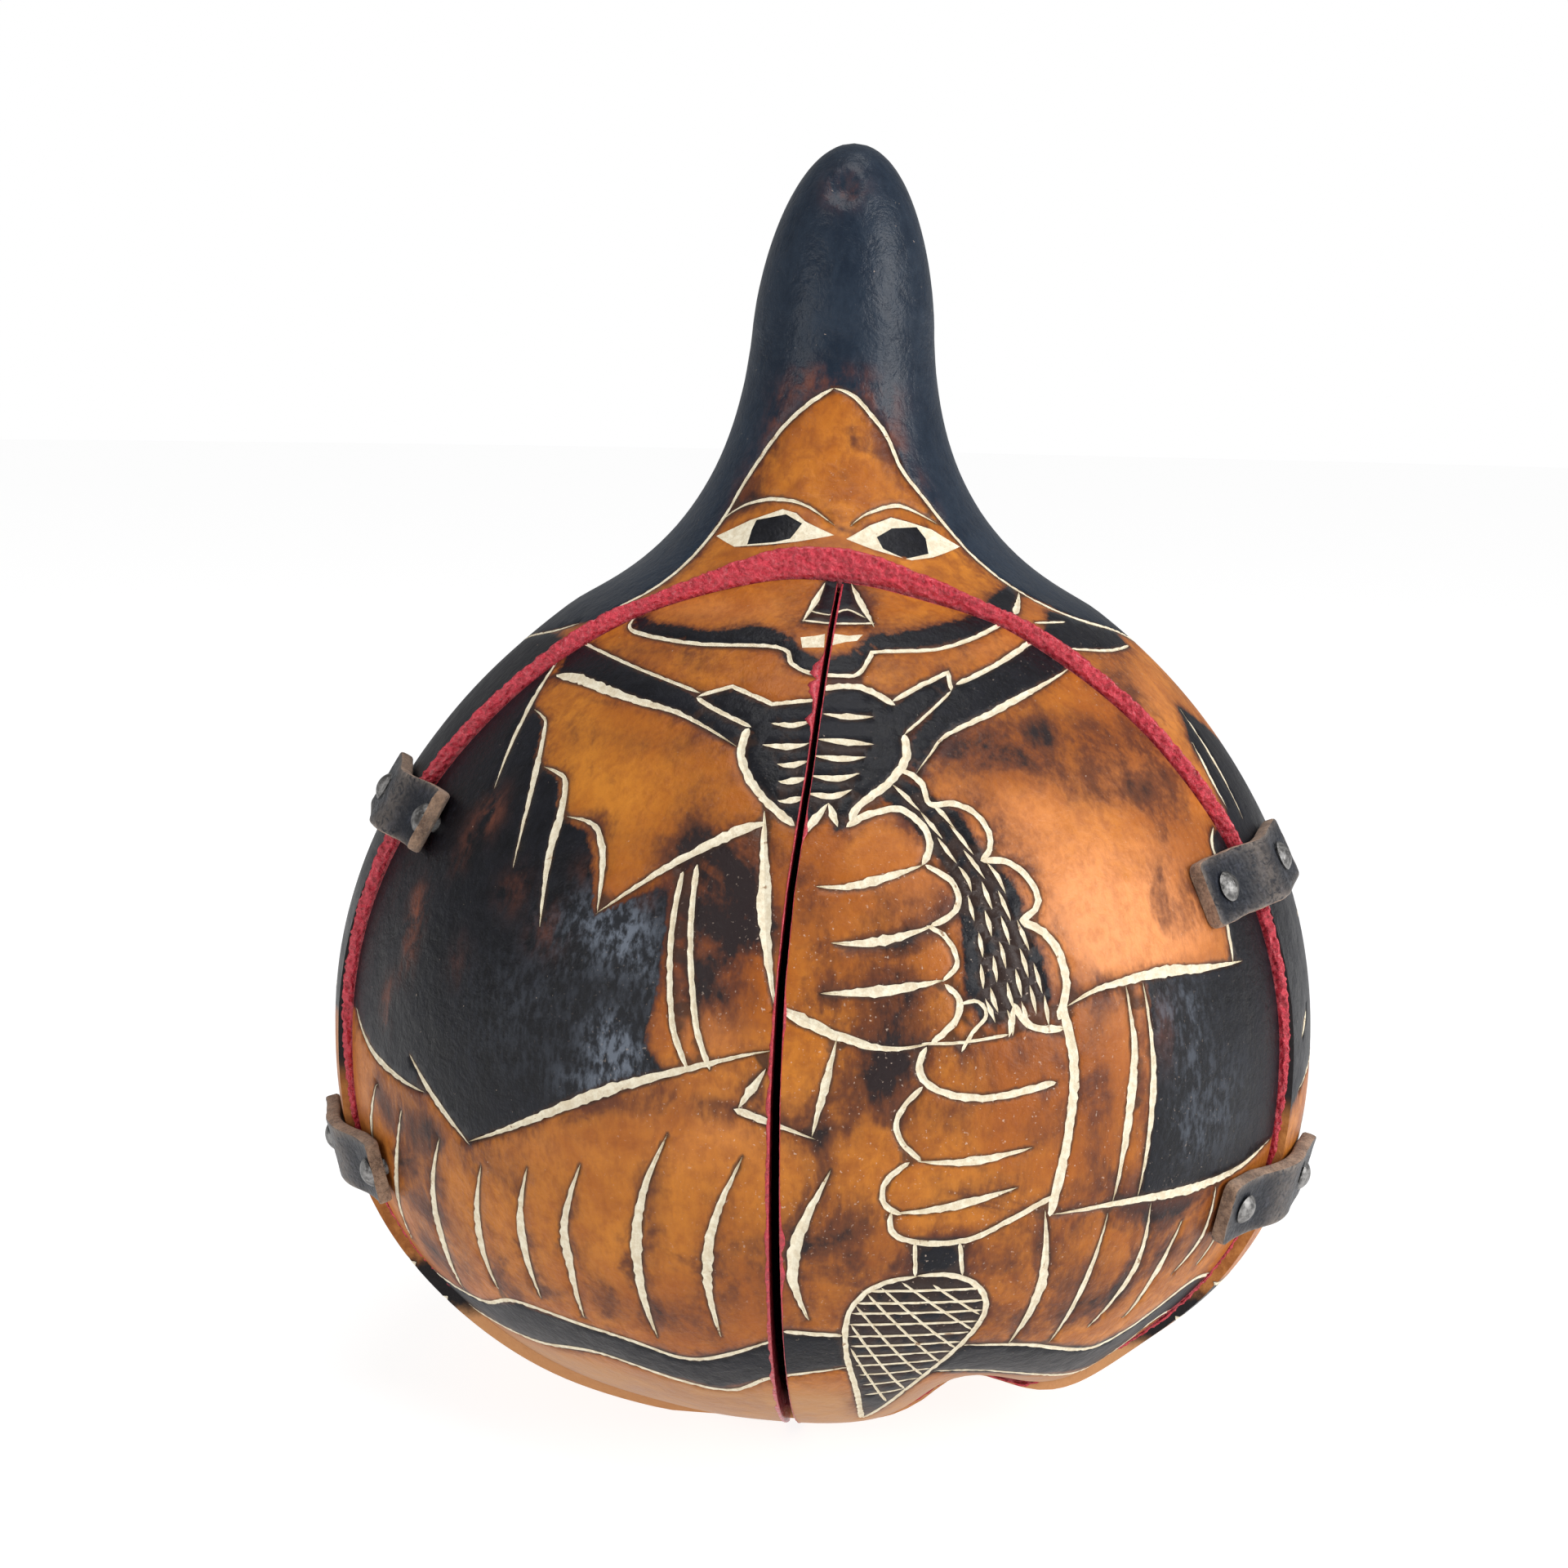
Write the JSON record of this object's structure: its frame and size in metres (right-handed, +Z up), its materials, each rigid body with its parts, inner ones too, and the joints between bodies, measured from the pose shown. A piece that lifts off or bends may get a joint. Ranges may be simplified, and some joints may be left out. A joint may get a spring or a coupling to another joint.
{
  "type": "hinged gourd box",
  "caption": "Carved pear-shaped gourd box with a tall neck and a pair of curved front doors on riveted leather strap hinges.",
  "frame": {"origin": "centre of the flat foot, on the surface the box stands on", "axes": "+Z up through the neck, the doors face -Y, +X to the right of a person who looks at the doors"},
  "size_m": [0.1514, 0.1451, 0.191],
  "materials": {
    "gourd": "burnt and carved gourd rind, satin",
    "chalk": "matt chalk rubbed into the carved lines",
    "rim_paint": "thick wrinkled paint, satin",
    "leather": "dyed grain face with raw suede edges",
    "rivet_steel": "worn steel",
    "burr_steel": "plain steel"
  },
  "bodies": {
    "body": {"body_shell": "gourd", "left_upper_strap_rear": "leather", "left_lower_strap_rear": "leather", "right_upper_strap_rear": "leather", "right_lower_strap_rear": "leather", "left_upper_rivet_rear": "rivet_steel", "left_lower_rivet_rear": "rivet_steel", "right_upper_rivet_rear": "rivet_steel", "right_lower_rivet_rear": "rivet_steel", "left_upper_burr_rear": "burr_steel", "left_lower_burr_rear": "burr_steel", "right_upper_burr_rear": "burr_steel", "right_lower_burr_rear": "burr_steel"},
    "left_door": {"left_door": "gourd", "left_upper_strap_front": "leather", "left_lower_strap_front": "leather", "left_upper_rivet_front": "rivet_steel", "left_lower_rivet_front": "rivet_steel", "left_upper_burr_front": "burr_steel", "left_lower_burr_front": "burr_steel"},
    "right_door": {"right_door": "gourd", "right_upper_strap_front": "leather", "right_lower_strap_front": "leather", "right_upper_rivet_front": "rivet_steel", "right_lower_rivet_front": "rivet_steel", "right_upper_burr_front": "burr_steel", "right_lower_burr_front": "burr_steel"}
  },
  "joints": [
    {"name": "left_door_hinge", "type": "hinge", "parent": "body", "child": "left_door", "pos_m": [-0.07241, -0.0243, 0.039], "axis": [-0.1352, 0, -0.9908], "range_deg": [0, 120]},
    {"name": "right_door_hinge", "type": "hinge", "parent": "body", "child": "right_door", "pos_m": [0.07241, -0.0243, 0.039], "axis": [-0.088, 0, 0.9961], "range_deg": [0, 120]}
  ]
}
